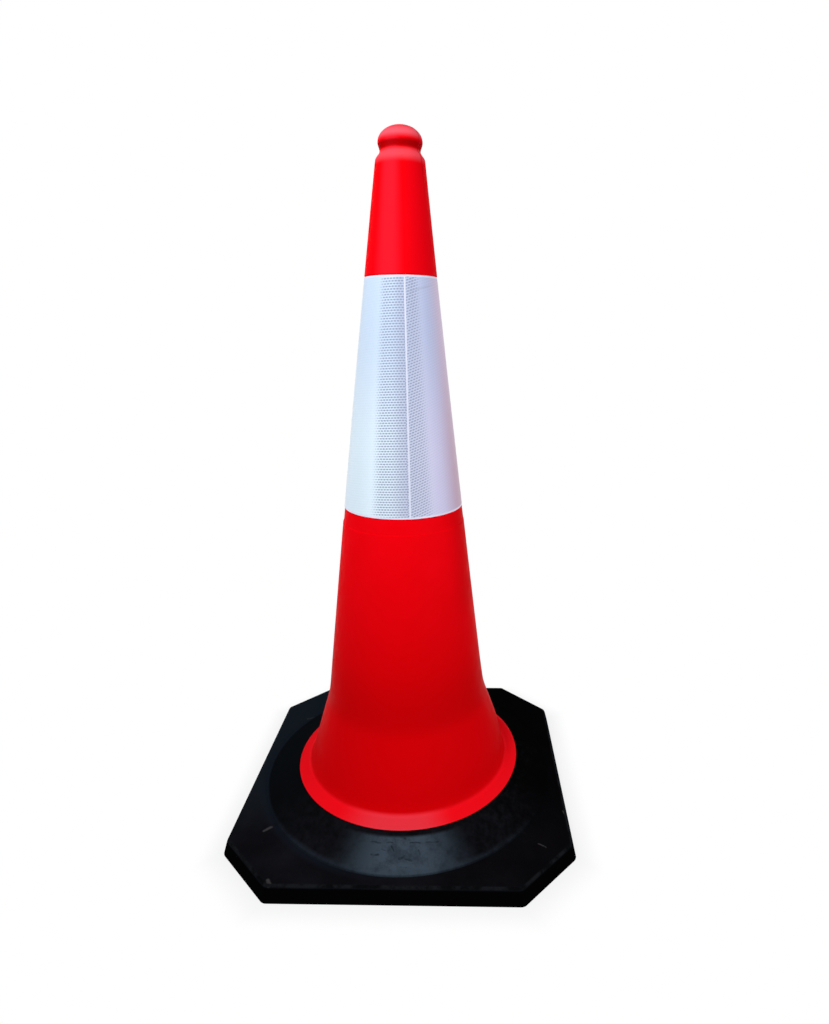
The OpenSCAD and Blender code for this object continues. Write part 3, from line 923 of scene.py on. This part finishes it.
def make_stage():
    """Pale floor and white surroundings"""
    put_down()
    bpy.ops.mesh.primitive_plane_add(size=12, location=(0, 0, 0))
    floor = bpy.context.object
    floor.name = "studio_floor"
    n = Nodes("studio_floor_white")
    n.shader.inputs["Base Color"].default_value = (0.8, 0.8, 0.8, 1)
    n.shader.inputs["Roughness"].default_value = 0.9
    n.shader.inputs["Specular IOR Level"].default_value = 0.0
    output = n.tree.nodes["Material Output"]
    axes = n.add("ShaderNodeSeparateXYZ", Vector=n.place())
    across, along = (n.math("ABSOLUTE", axes.outputs[axis]) for axis in ("X", "Y"))
    corner = n.math("MULTIPLY", n.math("ADD", across, along), math.sqrt(0.5) * BASE_HALF_W / CUT_CORNER_R)
    from_base = n.math("MAXIMUM", n.math("MAXIMUM", across, along), corner)
    share = n.band(from_base, 0.25, 0.29, 0.82, 1.0)
    white_for_the_eye(n.tree.nodes, n.tree.links, "floor", output, n.shader, share)
    finish_with(floor, n.material)
    world = bpy.data.worlds.new("studio")
    world.use_nodes = True
    tree = world.node_tree
    plain = tree.nodes["Background"]
    plain.inputs["Color"].default_value = (0.93, 0.96, 1.0, 1)
    plain.inputs["Strength"].default_value = 0.38
    white_for_the_eye(tree.nodes, tree.links, "world", tree.nodes["World Output"], plain, 1.0)
    bpy.context.scene.world = world


def lamp(name, place, aim, width, height, watts, colour=(1, 1, 1)):
    """Soft box that looks at a point"""
    light = bpy.data.lights.new(name, "AREA")
    light.shape = "RECTANGLE"
    light.size = width
    light.size_y = height
    light.energy = watts
    light.color = colour
    holder = bpy.data.objects.new(name, light)
    bpy.context.scene.collection.objects.link(holder)
    holder.location = place
    way = Vector(aim) - Vector(place)
    holder.rotation_euler = way.to_track_quat("-Z", "Y").to_euler()
    return holder


def make_lights():
    """Soft box high and near on the left, wider and weaker ones on both sides"""
    lamp("key_softbox", (-0.45, -0.72, 1.45), (0, 0, 0.95), 0.4, 0.4, 7.6, (0.97, 0.99, 1.0))
    lamp("right_softbox", (1.35, -1.15, 0.7), (0, 0, 0.4), 0.8, 1.0, 10.5, (1.0, 0.97, 0.99))
    lamp("left_softbox", (-1.5, -1.0, 0.5), (0, 0, 0.3), 0.8, 0.8, 5.0, (0.97, 0.99, 1.0))


def make_camera():
    """Camera where the photograph was taken"""
    data = bpy.data.cameras.new("photo_camera")
    data.sensor_fit = "VERTICAL"
    data.sensor_height = SENSOR_MM
    data.lens = SENSOR_MM * FOCAL_LENGTH_PX / IMAGE_HEIGHT_PX
    data.shift_x = (IMAGE_WIDTH_PX / 2 - CENTRE_X_PX) / IMAGE_HEIGHT_PX
    data.shift_y = (CENTRE_Y_PX - IMAGE_HEIGHT_PX / 2) / IMAGE_HEIGHT_PX
    camera = bpy.data.objects.new("photo_camera", data)
    bpy.context.scene.collection.objects.link(camera)
    camera.location = CAMERA_PLACE
    camera.rotation_euler = [math.radians(a) for a in CAMERA_TURN_DEG]
    bpy.context.scene.camera = camera


def main():
    make_camera()
    red, white, black = red_plastic(), white_sheet(), black_rubber()
    shell = make_shell()
    right = make_sheet("sheet_right_half", FRONT_SEAM_DEG)
    left = make_sheet("sheet_left_half", FRONT_SEAM_DEG + 180)
    rubber = make_rubber()
    for piece, node, slot, material in (
        (shell, "cone_body", "red_plastic", red),
        (right, "right_sheet", "white_sheet", white),
        (left, "left_sheet", "white_sheet", white),
        (rubber, "rubber_base", "black_rubber", black),
    ):
        finish_with(piece, material)
        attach(piece, "root")
        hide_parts(node)
    make_stage()
    make_lights()
    bpy.context.scene.view_settings.view_transform = "Standard"


main()
